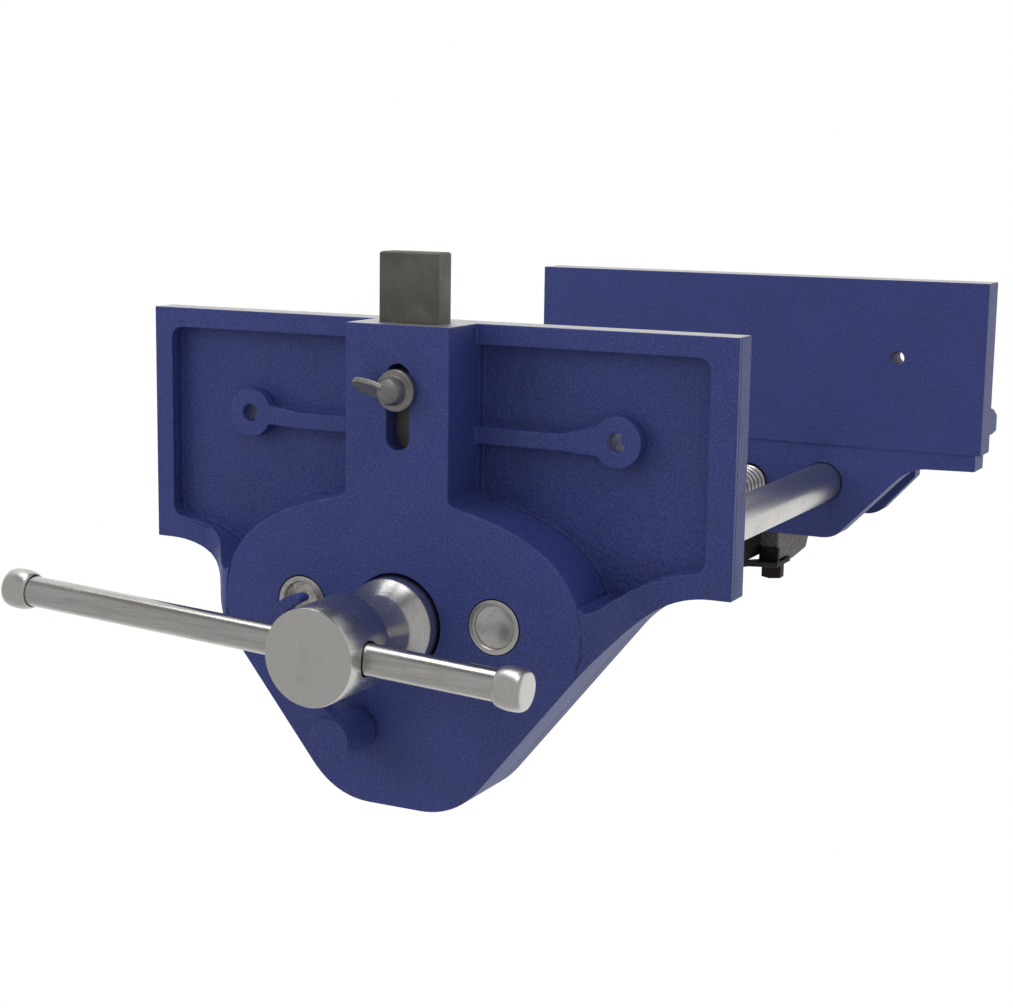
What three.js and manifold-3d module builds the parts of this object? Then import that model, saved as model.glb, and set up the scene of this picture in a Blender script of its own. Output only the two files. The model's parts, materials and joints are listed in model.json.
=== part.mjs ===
// Quick-release woodworking bench vise, in millimetres.
// Origin: middle of the seat that bolts up against the underside of the bench top.
// +X runs along the jaws, +Y goes from the user into the bench, +Z is up.
// The front and rear assemblies are each built in their own frame, with Z = 0 at the jaw tops.
// In the front frame Y = 0 is the rim plane of the front jaw; in the rear frame it is the grip face.

import * as THREE from 'three';
import { mergeVertices } from 'three/addons/utils/BufferGeometryUtils.js';
import Module from 'manifold-3d';

const wasm = await Module();
wasm.setup();

// ---- driving dimensions ----
const FIT = 0.3;               // gap left between a piece and its neighbour
const JAW_WIDTH = 229;
const JAW_TOP = 62;            // jaw tops above the bench seat
const OPENING = 324.6;         // opening between the grip faces as placed
const EXTRA_OPENING = 5.4;     // travel left before the tie plate meets the rear casting
const FRONT_PLATE = 11.3;      // thickness of the front jaw's plate
const FRONT_HEIGHT = 86.5;
const REAR_PLATE = 17;
const REAR_HEIGHT = 81.2;
const LOBE_PROUD = 20;         // lobe and pillar faces ahead of the rim plane
const LOBE_WIDTH = 140;
const LOBE_BOTTOM = -169;
const PILLAR_WIDTH = 40;
const POCKET_DEPTH = 6;
const SEAT_DEPTH = 95;         // bench seat behind the rear jaw
const SEAT_MIDDLE = REAR_PLATE + 47;
const SEAT_THICKNESS = 12.5;

const SCREW_Z = -103;
const SCREW_RADIUS = 8.6;
const HEAD_RADIUS = 16.5;
const BAR_X = 38;
const BAR_Z = -100;
const BAR_RADIUS = 9.5;
const RELEASE_X = -14.5;
const RELEASE_Z = -142;
const RELEASE_BAR = { width: 26, thickness: 5 };
const HANDLE = { y: -65, radius: 5.35, tilt: 3 };
const KNOB = { left: -126, right: 68, length: 10, radius: 7.1, boreDepth: 6 };
const DOG = { width: 23.2, thickness: 9.8, front: -12.3, top: 24, bottom: -48 };
const LOCK_Z = -22.1;

const REAR_Y = -SEAT_MIDDLE;                            // grip face of the rear jaw
const FRONT_Y = REAR_Y - OPENING - FRONT_PLATE;         // rim plane of the front jaw
const CASTING_END = REAR_PLATE + SEAT_DEPTH;            // back of the rear casting, rear frame
const TIE_FRONT = OPENING + FRONT_PLATE + CASTING_END + EXTRA_OPENING + FIT;
const TIE_THICKNESS = 8;

// ---- materials ----
const paint = { color: 0x2f3a73, roughness: 0.45, metalness: 0.1 };
const turned = { color: 0xb4b2ac, roughness: 0.3, metalness: 1 };
const darkSteel = { color: 0x6d6861, roughness: 0.5, metalness: 1 };
const blackSteel = { color: 0x2c2826, roughness: 0.55, metalness: 0.9 };
const castIron = { color: 0x77736c, roughness: 0.6, metalness: 0.8 };
const springSteel = { color: 0x5b5c60, roughness: 0.4, metalness: 1 };

// ---- making and combining solids ----
function solid(geometry) {
  const bare = geometry.index ? geometry.toNonIndexed() : geometry.clone();
  bare.deleteAttribute('normal');
  bare.deleteAttribute('uv');
  const merged = mergeVertices(bare, 1e-4);
  const triVerts = new Uint32Array(merged.index.array);
  const vertProperties = new Float32Array(merged.attributes.position.array);
  return new wasm.Manifold(new wasm.Mesh({ numProp: 3, vertProperties, triVerts }));
}

function geometryOf(manifold) {
  const { vertProperties, triVerts } = manifold.getMesh();
  const geometry = new THREE.BufferGeometry();
  geometry.setAttribute('position', new THREE.BufferAttribute(new Float32Array(vertProperties), 3));
  geometry.setIndex(new THREE.BufferAttribute(new Uint32Array(triVerts), 1));
  geometry.computeVertexNormals();
  return geometry;
}

const join = (...parts) => parts.reduce((whole, part) => whole.add(part));
const cut = (body, ...tools) => tools.reduce((whole, tool) => whole.subtract(tool), body);

function piece(parent, name, shape, material) {
  const geometry = shape instanceof THREE.BufferGeometry ? shape : geometryOf(shape);
  const mesh = new THREE.Mesh(geometry, new THREE.MeshStandardMaterial(material));
  mesh.name = name;
  parent.add(mesh);
  return mesh;
}

// An outline drawn in X and Z, running from y0 to y1.
function slab(shape, y0, y1, curveSegments = 12) {
  const geometry = new THREE.ExtrudeGeometry(shape, { depth: y1 - y0, bevelEnabled: false, curveSegments });
  return solid(geometry.rotateX(Math.PI / 2).translate(0, y1, 0));
}

// An outline drawn in X and Y, standing from z0 to z1.
function upright(shape, z0, z1, curveSegments = 8) {
  const geometry = new THREE.ExtrudeGeometry(shape, { depth: z1 - z0, bevelEnabled: false, curveSegments });
  return solid(geometry.translate(0, 0, z0));
}

// An outline drawn in Y and Z, running from x0 to x1.
function profileX(shape, x0, x1) {
  const geometry = new THREE.ExtrudeGeometry(shape, { depth: x1 - x0, bevelEnabled: false });
  return solid(geometry.rotateX(Math.PI / 2).rotateZ(Math.PI / 2).translate(x0, 0, 0));
}

function block(x0, x1, y0, y1, z0, z1) {
  const geometry = new THREE.BoxGeometry(x1 - x0, y1 - y0, z1 - z0);
  return solid(geometry.translate((x0 + x1) / 2, (y0 + y1) / 2, (z0 + z1) / 2));
}

// A solid of revolution about the line through (x, z) along Y; profile is [radius, y] from axis to axis.
function turnedY(profile, x, z, segments = 40) {
  const points = profile.map(([radius, y]) => new THREE.Vector2(radius, y));
  return solid(new THREE.LatheGeometry(points, segments).translate(x, 0, z));
}

const rodY = (radius, y0, y1, x, z, segments = 40) =>
  turnedY([[0, y0], [radius, y0], [radius, y1], [0, y1]], x, z, segments);

function rodZ(radius, z0, z1, x, y, segments = 20) {
  const geometry = new THREE.CylinderGeometry(radius, radius, z1 - z0, segments).rotateX(Math.PI / 2);
  return solid(geometry.translate(x, y, (z0 + z1) / 2));
}

function rodX(radius, x0, x1, y, z, segments = 20) {
  const geometry = new THREE.CylinderGeometry(radius, radius, x1 - x0, segments).rotateZ(Math.PI / 2);
  return solid(geometry.translate((x0 + x1) / 2, y, z));
}

function hexHeadZ(acrossFlats, z0, z1, x, y) {
  return rodZ(acrossFlats / Math.sqrt(3), z0, z1, x, y, 6);
}

// A closed outline from corner points; a point given as [x, z, cx, cz] is reached by a curve.
function outline(points) {
  const shape = new THREE.Shape();
  shape.moveTo(points[0][0], points[0][1]);
  for (const [x, z, cx, cz] of points.slice(1)) {
    if (cx === undefined) shape.lineTo(x, z);
    else shape.quadraticCurveTo(cx, cz, x, z);
  }
  return shape;
}

// Right-hand points in order, repeated on the left to close a symmetric outline.
function mirrored(right) {
  const left = [];
  for (let i = right.length - 1; i >= 0; i -= 1) {
    const control = i + 1 < right.length ? right[i + 1] : [];
    const curve = control.length === 4 ? [-control[2], control[3]] : [];
    left.push([-right[i][0], right[i][1], ...curve]);
  }
  return outline([...right, ...left]);
}

// ---- front jaw ----
// The casting's lower flanks run through one point, with Z falling by `slope` for each millimetre inwards.
const FLANK = { x: 65.9, z: -117.4, slope: 1.235, plateTopX: 80, lobeTopX: 65.2, bottomZ: -157.4 };
const flankZ = (x) => FLANK.z + FLANK.slope * (x - FLANK.x);
const flankX = (z) => FLANK.x + (z - FLANK.z) / FLANK.slope;
const PLATE_CURVE_START = 108;
const BOTTOM_FLAT = 10;
const SHOULDER = { z: -60.8, cornerZ: -58, run: 47, runZ: -66, turnZ: -75, widestZ: -100.5, endZ: -112 };
const RAMP = { inner: 60, start: 68, outer: 94, pullIn: 78, pullOut: 80, bottom: -130, top: -82 };
const POCKET = { top: -7.2, bottom: -73.5, right: 105, left: 107, corner: 5 };

function plateOutline() {
  const half = JAW_WIDTH / 2;
  const bottom = -FRONT_HEIGHT;
  return mirrored([
    [half, 0],
    [half, bottom],
    [PLATE_CURVE_START, bottom],
    [FLANK.plateTopX, flankZ(FLANK.plateTopX), flankX(bottom), bottom],
    [flankX(FLANK.bottomZ), FLANK.bottomZ],
    [BOTTOM_FLAT, LOBE_BOTTOM, flankX(LOBE_BOTTOM), LOBE_BOTTOM],
  ]);
}

// The raised pillar and lobe: straight sides, an arched shoulder, then the flanks down to the foot.
function lobeOutline() {
  const pillar = PILLAR_WIDTH / 2;
  const widest = LOBE_WIDTH / 2;
  const { z, cornerZ, run, runZ, turnZ, widestZ, endZ } = SHOULDER;
  const footX = flankX(LOBE_BOTTOM);
  const lowX = flankX(FLANK.bottomZ);
  const shape = new THREE.Shape();
  shape.moveTo(pillar, 0);
  shape.lineTo(pillar, cornerZ);
  shape.quadraticCurveTo(pillar + 0.4, z + 0.5, pillar + 3, z);
  shape.bezierCurveTo(run, runZ, widest, turnZ, widest, widestZ);
  shape.quadraticCurveTo(widest, endZ, FLANK.lobeTopX, flankZ(FLANK.lobeTopX));
  shape.lineTo(lowX, FLANK.bottomZ);
  shape.quadraticCurveTo(footX, LOBE_BOTTOM, BOTTOM_FLAT, LOBE_BOTTOM);
  shape.lineTo(-BOTTOM_FLAT, LOBE_BOTTOM);
  shape.quadraticCurveTo(-footX, LOBE_BOTTOM, -lowX, FLANK.bottomZ);
  shape.lineTo(-FLANK.lobeTopX, flankZ(FLANK.lobeTopX));
  shape.quadraticCurveTo(-widest, endZ, -widest, widestZ);
  shape.bezierCurveTo(-widest, turnZ, -run, runZ, -pillar - 3, z);
  shape.quadraticCurveTo(-pillar - 0.4, z + 0.5, -pillar, cornerZ);
  shape.lineTo(-pillar, 0);
  return shape;
}

// The face that sweeps forward from the rim below each pocket to the side of the lobe.
function shoulderRamp(side) {
  const back = FRONT_PLATE / 2;
  const { inner, start, outer, pullIn, pullOut, bottom, top } = RAMP;
  const shape = new THREE.Shape();
  shape.moveTo(side * inner, back);
  shape.lineTo(side * inner, -LOBE_PROUD);
  shape.lineTo(side * start, -LOBE_PROUD);
  shape.bezierCurveTo(side * pullIn, -LOBE_PROUD, side * pullOut, 0, side * outer, 0);
  shape.lineTo(side * outer, back);
  return upright(shape, bottom, top, 10);
}

// The sunk panel on each side of the pillar; its inner end runs in under the pillar and the lobe.
function pocketOutline(side) {
  const { top, bottom, corner } = POCKET;
  const outer = side > 0 ? POCKET.right : POCKET.left;
  return outline([
    [0, top],
    [side * (outer - corner), top],
    [side * outer, top - corner, side * outer, top],
    [side * outer, bottom],
    [side * (outer - corner), bottom - 5.1, side * outer, bottom - 4.9],
    [side * 82, -84.8, side * 92, -79.5],
    [side * 77, -88.3],
    [side * 71, -91.8, side * 73.6, -91.6],
    [side * 66, -88],
    [side * 50, -78],
    [0, -70],
  ]);
}

const BOSS = { x: 72.6, z: -37, radius: 8.8, hole: 3.25 };
const RIB = { inner: 15, z: -38.5, half: 2.9, flareStart: 52, leftFlare: 3.6, rightFlare: 5.5 };

// A level rib from the pillar to the round boss of the liner screw, spreading where it meets the boss.
function ribAndBoss(side) {
  const flareHalf = side > 0 ? RIB.rightFlare : RIB.leftFlare;
  const end = BOSS.x - BOSS.radius / 2;
  const flare = outline([
    [side * RIB.inner, RIB.z - RIB.half],
    [side * RIB.flareStart, RIB.z - RIB.half],
    [side * end, BOSS.z - flareHalf],
    [side * end, BOSS.z + flareHalf],
    [side * RIB.flareStart, RIB.z + RIB.half],
    [side * RIB.inner, RIB.z + RIB.half],
  ]);
  const back = POCKET_DEPTH + 1;
  return join(slab(flare, 0, back), rodY(BOSS.radius, 0, back, side * BOSS.x, BOSS.z, 28));
}

const REAR_FLOOR = -8;         // inside face of the lobe's front wall
const BAR_BOSS_RADIUS = 15;
const SCREW_BOSS = { radius: 19, face: -4, recessRadius: 17.6, recessFloor: -14, bore: 9.2 };
const RELEASE_BOSS_RADIUS = 10;
const BAR_PIN = { radius: 2.5, y: 2, top: -90, bottom: -116 };
const SPINDLE_RADIUS = 5;
const HOLLOW = [[46, -83.5], [61, -100, 59, -85], [58, -114, 61, -108], [28, -150], [14, -158, 22, -158]];
const LOCK_SLOT = { x: 0.5, radius: 4.5, top: -13.2, bottom: -42.7 };

// The hollow behind the lobe, with bosses left round the bars, the screw and the release bar.
function rearHollow() {
  const cavity = slab(mirrored(HOLLOW), REAR_FLOOR, FRONT_PLATE + 1, 6);
  const barBosses = [-1, 1].map((side) =>
    rodY(BAR_BOSS_RADIUS, REAR_FLOOR - 1, FRONT_PLATE, side * BAR_X, BAR_Z, 32));
  const screwBoss = rodY(SCREW_BOSS.radius, REAR_FLOOR - 1, SCREW_BOSS.face, 0, SCREW_Z, 36);
  return cut(cavity, ...barBosses, screwBoss);
}

function dogCavity() {
  const half = DOG.width / 2 + FIT;
  return block(-half, half, DOG.front - FIT, DOG.front + DOG.thickness + FIT, DOG.bottom - 20, 1);
}

function lockSlot() {
  const { x, radius, top, bottom } = LOCK_SLOT;
  const shape = new THREE.Shape();
  shape.absarc(x, top - radius, radius, 0, Math.PI, false);
  shape.absarc(x, bottom + radius, radius, Math.PI, 2 * Math.PI, false);
  return slab(shape, -LOBE_PROUD - 1, DOG.front, 8);
}

function frontJawCasting() {
  const plate = slab(plateOutline(), 0, FRONT_PLATE);
  const pockets = [-1, 1].map((side) => slab(pocketOutline(side), -LOBE_PROUD - 1, POCKET_DEPTH, 6));
  const reach = slab(plateOutline(), -LOBE_PROUD, FRONT_PLATE);
  const ramps = [-1, 1].map((side) => shoulderRamp(side).intersect(reach));
  const panel = cut(join(plate, ...ramps), ...pockets);
  const lobe = slab(lobeOutline(), -LOBE_PROUD, FRONT_PLATE);
  const body = join(panel, lobe, ribAndBoss(-1), ribAndBoss(1));
  const tools = [rearHollow(), dogCavity(), lockSlot()];
  for (const side of [-1, 1]) {
    tools.push(rodY(BOSS.hole, -1, FRONT_PLATE + 1, side * BOSS.x, BOSS.z, 20));
    tools.push(rodY(BAR_RADIUS + FIT, -LOBE_PROUD - 1, FRONT_PLATE + 1, side * BAR_X, BAR_Z));
    tools.push(rodZ(BAR_PIN.radius + FIT, BAR_PIN.bottom - 1, BAR_PIN.top + FIT, side * BAR_X, BAR_PIN.y));
  }
  tools.push(rodY(SCREW_BOSS.recessRadius, -LOBE_PROUD - 1, SCREW_BOSS.recessFloor, 0, SCREW_Z));
  tools.push(rodY(SCREW_BOSS.bore, -LOBE_PROUD, FRONT_PLATE, 0, SCREW_Z));
  tools.push(rodY(SPINDLE_RADIUS + FIT, -LOBE_PROUD - 1, REAR_FLOOR + 1, RELEASE_X, RELEASE_Z, 28));
  return cut(body, ...tools);
}

// ---- sliding bars and tie plate ----
const TIE_BOLT = { radius: 4, length: 22, headFlats: 13, headHeight: 5.5 };
const TIE_LUG = { radius: 11, start: 1.15, end: 1.75 };       // arc of the lug, in half turns
const REAR_SPINDLE_RADIUS = 4;
const BAR_DISH = { radius: 7.6, step: 1.3, depth: 5 };

function guideBar(side) {
  const end = TIE_FRONT - FIT;
  const bar = turnedY([
    [0, -LOBE_PROUD + BAR_DISH.depth],
    [BAR_DISH.radius - 0.3, -LOBE_PROUD + BAR_DISH.step],
    [BAR_DISH.radius, -LOBE_PROUD],
    [BAR_RADIUS, -LOBE_PROUD],
    [BAR_RADIUS, end],
    [0, end],
  ], side * BAR_X, BAR_Z);
  const pinHole = rodZ(BAR_PIN.radius + FIT, BAR_PIN.bottom, BAR_PIN.top + FIT, side * BAR_X, BAR_PIN.y);
  const bolt = rodY(TIE_BOLT.radius + FIT, end - TIE_BOLT.length, end + 1, side * BAR_X, BAR_Z, 20);
  return cut(bar, pinHole, bolt);
}

const barPin = (side) => rodZ(BAR_PIN.radius, BAR_PIN.bottom, BAR_PIN.top, side * BAR_X, BAR_PIN.y);

function tiePlate() {
  const shape = new THREE.Shape();
  const corner = BAR_BOSS_RADIUS;
  shape.absarc(BAR_X, BAR_Z, corner, -Math.PI / 4, Math.PI / 2, false);
  shape.absarc(-BAR_X, BAR_Z, corner, Math.PI / 2, Math.PI * TIE_LUG.start, false);
  shape.absarc(RELEASE_X, RELEASE_Z, TIE_LUG.radius, Math.PI * TIE_LUG.start, Math.PI * TIE_LUG.end, false);
  const end = TIE_FRONT + TIE_THICKNESS;
  const holes = [-1, 1].map((side) =>
    rodY(TIE_BOLT.radius + FIT, TIE_FRONT - 1, end + 1, side * BAR_X, BAR_Z, 20));
  holes.push(rodY(SCREW_RADIUS + FIT, TIE_FRONT - 1, end + 1, 0, SCREW_Z));
  holes.push(rodY(REAR_SPINDLE_RADIUS + FIT, TIE_FRONT - 1, end + 1, RELEASE_X, RELEASE_Z, 24));
  return cut(slab(shape, TIE_FRONT, end), ...holes);
}

function tieBolt(side) {
  const seat = TIE_FRONT + TIE_THICKNESS + FIT;
  const { radius, length, headFlats, headHeight } = TIE_BOLT;
  const corner = headFlats / Math.sqrt(3);
  const head = new THREE.CylinderGeometry(corner, corner, headHeight, 6);
  head.translate(side * BAR_X, seat + headHeight / 2, BAR_Z);
  const shank = rodY(radius, TIE_FRONT - length + 1, seat + 1, side * BAR_X, BAR_Z, 20);
  return join(solid(head), shank);
}

// ---- screw, collar and handle ----
const HEAD = { front: -77, back: -52.6, chamfer: 0.8 };
const NECK = { radius: 12, front: -52 };
const FLANGE = { radius: 16.7, coneStart: -30.5, rim: -25, back: -16.2 };
const SCREW_END = { past: 6, chamfer: 2 };
const COLLAR = { front: SCREW_BOSS.face + FIT, length: 9, radius: 15 };
const COLLAR_PIN = { radius: 1.8, reach: COLLAR.radius - 1 };

// The handle's own line: through the screw axis, leaning down to the right.
function alongHandle(manifold) {
  return manifold.rotate([0, HANDLE.tilt, 0]).translate([0, HANDLE.y, SCREW_Z]);
}

const COLLAR_MIDDLE = COLLAR.front + COLLAR.length / 2;
const acrossCollar = (radius, reach) => rodX(radius, -reach, reach, COLLAR_MIDDLE, SCREW_Z, 16);
const collarPinHole = () => acrossCollar(COLLAR_PIN.radius + FIT, COLLAR.radius + 1);

function mainScrew() {
  const end = TIE_FRONT + TIE_THICKNESS + SCREW_END.past;
  const body = turnedY([
    [0, HEAD.front],
    [HEAD_RADIUS - HEAD.chamfer, HEAD.front],
    [HEAD_RADIUS, HEAD.front + HEAD.chamfer],
    [HEAD_RADIUS, HEAD.back],
    [HEAD_RADIUS - (NECK.front - HEAD.back), NECK.front],
    [NECK.radius, NECK.front],
    [NECK.radius, FLANGE.coneStart],
    [FLANGE.radius, FLANGE.rim],
    [FLANGE.radius, FLANGE.back],
    [SCREW_RADIUS, FLANGE.back],
    [SCREW_RADIUS, end - SCREW_END.chamfer],
    [SCREW_RADIUS - SCREW_END.chamfer, end],
    [0, end],
  ], 0, SCREW_Z, 48);
  const handleHole = alongHandle(rodX(HANDLE.radius + 2 * FIT, -HEAD_RADIUS - 2, HEAD_RADIUS + 2, 0, 0, 32));
  return cut(body, handleHole, collarPinHole());
}

function thrustWasher() {
  const front = FLANGE.back + FIT;
  const back = SCREW_BOSS.recessFloor - FIT;
  const ring = rodY(HEAD_RADIUS, front, back, 0, SCREW_Z);
  return cut(ring, rodY(SCREW_RADIUS + FIT, front - 1, back + 1, 0, SCREW_Z));
}

function screwCollar() {
  const { front, length, radius } = COLLAR;
  const ring = rodY(radius, front, front + length, 0, SCREW_Z);
  const bore = rodY(SCREW_RADIUS + FIT, front - 1, front + length + 1, 0, SCREW_Z);
  return cut(ring, bore, collarPinHole());
}

const collarPin = () => acrossCollar(COLLAR_PIN.radius, COLLAR_PIN.reach);

function handleRod() {
  const inset = KNOB.boreDepth - KNOB.length / 2 - FIT;
  return alongHandle(rodX(HANDLE.radius, KNOB.left - inset, KNOB.right + inset, 0, 0, 28));
}

// A knob that bulges towards its flat outer end, bored to take the rod.
function handleKnob(side) {
  const centre = side < 0 ? KNOB.left : KNOB.right;
  const half = KNOB.length / 2;
  const { radius, boreDepth } = KNOB;
  const points = [
    [0, -half], [radius - 1.1, -half], [radius - 0.6, -half + 0.6], [radius - 0.15, -half + 2],
    [radius, 0], [radius - 0.05, half - 3], [radius - 0.3, half - 1.3], [radius - 0.8, half - 0.4],
    [radius - 1.4, half], [0, half],
  ].map(([r, s]) => new THREE.Vector2(r, s));
  const turnedKnob = new THREE.LatheGeometry(points, 32).rotateZ(-Math.PI / 2 * side);
  const barrel = solid(turnedKnob.translate(centre, 0, 0));
  const inner = centre - side * half;
  const [start, end] = [inner - side, inner + side * boreDepth].sort((a, b) => a - b);
  return alongHandle(cut(barrel, rodX(HANDLE.radius + FIT, start, end, 0, 0, 28)));
}

// ---- trigger and release bar ----
const HUB = { radius: 7.5, front: -40, boreFloor: 3 };
const ARM = { front: -37, back: -31 };
const FLAT_START = -1.5;
const TRIGGER_PIN = { radius: 1.5, y: -27, top: -138.6 };
const CIRCLIP = { front: TIE_FRONT + TIE_THICKNESS + FIT, thickness: 1.2, inner: 3.4, outer: 6.6, gap: 1.5 };

// The arm leaves the hub at the left, bows outwards and hooks back over the left bar's end.
function triggerArmOutline() {
  const shape = new THREE.Shape();
  shape.moveTo(-21.6, -139.8);
  shape.lineTo(-29.4, -132.4);
  shape.bezierCurveTo(-37.2, -121.8, -42.3, -109.8, -41, -104);
  shape.bezierCurveTo(-39.9, -98.6, -36, -94, -30.2, -93.3);
  shape.bezierCurveTo(-27.6, -93.1, -27.1, -95.3, -29.1, -96.2);
  shape.bezierCurveTo(-33, -98, -36.2, -100.5, -36.3, -105.8);
  shape.bezierCurveTo(-35.3, -116.8, -27.7, -127.8, -11.2, -136.8);
  shape.lineTo(RELEASE_X, RELEASE_Z);
  return shape;
}

// The cross hole for the pin that holds the lever on the release bar's spindle.
const triggerPinHole = (top) =>
  rodZ(TRIGGER_PIN.radius + FIT, RELEASE_Z - HUB.radius - 1, top, RELEASE_X, TRIGGER_PIN.y, 14);

function triggerLever() {
  const back = -LOBE_PROUD - 2 * FIT;
  const hub = rodY(HUB.radius, HUB.front, back, RELEASE_X, RELEASE_Z, 32);
  const arm = slab(triggerArmOutline(), ARM.front, ARM.back, 8);
  const bore = rodY(SPINDLE_RADIUS + FIT, HUB.front + HUB.boreFloor, back + 1, RELEASE_X, RELEASE_Z, 28);
  return cut(join(hub, arm), bore, triggerPinHole(RELEASE_Z));
}

// A ring round the release bar's line, cut by another: radii outer and inner, front face at y0.
function releaseRing(outer, inner, y0, thickness) {
  return cut(rodY(outer, y0, y0 + thickness, RELEASE_X, RELEASE_Z, 24),
    rodY(inner, y0 - 1, y0 + thickness + 1, RELEASE_X, RELEASE_Z, 24));
}

function releaseBar() {
  const { width, thickness } = RELEASE_BAR;
  const flatEnd = TIE_FRONT - FIT;
  const spindleFront = HUB.front + HUB.boreFloor + FIT;
  const spindle = rodY(SPINDLE_RADIUS, spindleFront, FLAT_START + 1, RELEASE_X, RELEASE_Z, 28);
  const flat = block(RELEASE_X - width / 2, RELEASE_X + width / 2, FLAT_START, flatEnd,
    RELEASE_Z - thickness / 2, RELEASE_Z + thickness / 2);
  const tail = rodY(REAR_SPINDLE_RADIUS, flatEnd - 6, flatEnd + TIE_THICKNESS + 6, RELEASE_X, RELEASE_Z, 24);
  const groove = releaseRing(REAR_SPINDLE_RADIUS + 1, CIRCLIP.inner - FIT,
    CIRCLIP.front, CIRCLIP.thickness + 2 * FIT);
  return cut(join(spindle, flat, tail), triggerPinHole(TRIGGER_PIN.top + FIT), groove);
}

function circlip() {
  const { front, thickness, inner, outer, gap } = CIRCLIP;
  const y0 = front + FIT;
  const mouth = block(RELEASE_X - gap, RELEASE_X + gap, y0 - 1, y0 + thickness + 1,
    RELEASE_Z, RELEASE_Z + outer + 1);
  return cut(releaseRing(outer, inner, y0, thickness), mouth);
}

const triggerPin = () =>
  rodZ(TRIGGER_PIN.radius, RELEASE_Z - HUB.radius + 0.2, TRIGGER_PIN.top, RELEASE_X, TRIGGER_PIN.y, 14);

// A wire coil standing along Z from z0 to z1.
function coil(radius, wire, turns, z0, z1) {
  const steps = turns * 10;
  const points = [];
  for (let i = 0; i <= steps; i += 1) {
    const angle = (i / steps) * turns * 2 * Math.PI;
    const z = z0 + wire + (i / steps) * (z1 - z0 - 2 * wire);
    points.push(new THREE.Vector3(radius * Math.cos(angle), radius * Math.sin(angle), z));
  }
  const section = new THREE.Shape();
  section.absarc(0, 0, wire, 0, 2 * Math.PI, false);
  const extrudePath = new THREE.CatmullRomCurve3(points);
  return new THREE.ExtrudeGeometry(section, { steps, curveSegments: 3, bevelEnabled: false, extrudePath });
}

const TRIGGER_COIL = { radius: 6.5, wire: 0.55, turns: 3 };

function triggerSpring() {
  const { radius, wire, turns } = TRIGGER_COIL;
  const spring = coil(radius, wire, turns, REAR_FLOOR + FIT, FLAT_START - FIT);
  return spring.rotateX(-Math.PI / 2).translate(RELEASE_X, 0, RELEASE_Z);
}

// ---- dog ----
const LOCK = { shank: 3, collar: 7.25, face: -LOBE_PROUD - FIT };

function dogBar() {
  const { width, thickness, front, top, bottom } = DOG;
  const bar = block(-width / 2, width / 2, front, front + thickness, bottom, top);
  return cut(bar, rodY(LOCK.shank + FIT, front - 1, front + thickness + 1, 0.5, LOCK_Z, 20));
}

// A domed hub on a round collar, with one flat wing standing out to the lower left.
function dogLockScrew() {
  const { shank, collar, face } = LOCK;
  const shape = new THREE.Shape();
  shape.moveTo(-1.6, 3);
  shape.bezierCurveTo(-5, 4.2, -12.4, 4.6, -13.6, 1.4);
  shape.bezierCurveTo(-14.6, -1.6, -11.5, -5.2, -8, -5.4);
  shape.lineTo(-1.6, -5.4);
  const wing = new THREE.ExtrudeGeometry(shape, { depth: 1.8, bevelEnabled: false, curveSegments: 8 });
  wing.translate(0, 0, -0.9).rotateX(Math.PI / 2 + 0.9).rotateY(0.18).translate(0.5, face - 6.2, LOCK_Z);
  const body = turnedY([
    [0, face - 8.6], [2.2, face - 8.3], [4, face - 7], [4.8, face - 5], [5, face - 2.6],
    [collar - 0.5, face - 2.3], [collar, face - 1.8], [collar, face], [shank, face],
    [shank, DOG.front + DOG.thickness - 1], [0, DOG.front + DOG.thickness - 1],
  ], 0.5, LOCK_Z, 32);
  return join(body, solid(wing));
}

// ---- rear casting ----
const REAR_WEB = { front: 98, back: 108, halfWidth: 58, shoulder: -109, bottom: -131 };
const FRONT_WEB = { front: 0.8, halfWidth: 112, bottom: -127.5 };
const SCREW_HOLE_RADIUS = 9.4;
const BARREL_RADIUS = 14.5;
const BAR_RIB_HALF = 4;
const GUIDE = {
  x: 17.5, y: 58, radius: 2.5, boss: 6.5, bossBottom: -79, head: -131.2, headRadius: 5.2, headHeight: 4,
};
const SLOT = { x: 76, y: 84, half: 5, length: 26 };
const FRONT_HOLE = { x: 96, y: 40, radius: 4.5 };
const SEAT_PLAN = [[114.5, REAR_PLATE], [114.5, 30], [111.5, 33], [106, 36], [90, CASTING_END]];
const SEAT_CHAMFER = 2.5;
const GUSSET = { outer: 112, inner: 102, drop: 9, length: 8 };

function frontWeb() {
  const { front, halfWidth: end, bottom } = FRONT_WEB;
  return slab(mirrored([
    [end, -REAR_HEIGHT + 6],
    [end, -89],
    [88, -89.6],
    [74, -96.8, 80.5, -90.2],
    [47, -124.8],
    [38, bottom, 44, bottom],
  ]), front, REAR_PLATE, 8);
}

function rearWeb() {
  const { halfWidth, shoulder, bottom } = REAR_WEB;
  return slab(mirrored([
    [halfWidth, -JAW_TOP - 2],
    [halfWidth, shoulder],
    [41, bottom + 3],
    [32, bottom, 37, bottom],
  ]), REAR_WEB.front, REAR_WEB.back, 6);
}

// The seat tapers towards the back and has its long edges bevelled at the jaw's ends.
function benchSeat() {
  const { [0]: [half] } = SEAT_PLAN;
  const top = -JAW_TOP;
  const bottom = top - SEAT_THICKNESS;
  const plan = upright(mirrored(SEAT_PLAN), bottom, top);
  const section = slab(mirrored([
    [half - SEAT_CHAMFER, top],
    [half, top - SEAT_CHAMFER],
    [half, bottom + SEAT_CHAMFER],
    [half - SEAT_CHAMFER, bottom],
  ]), REAR_PLATE - 1, CASTING_END + 1);
  return plan.intersect(section);
}

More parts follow.
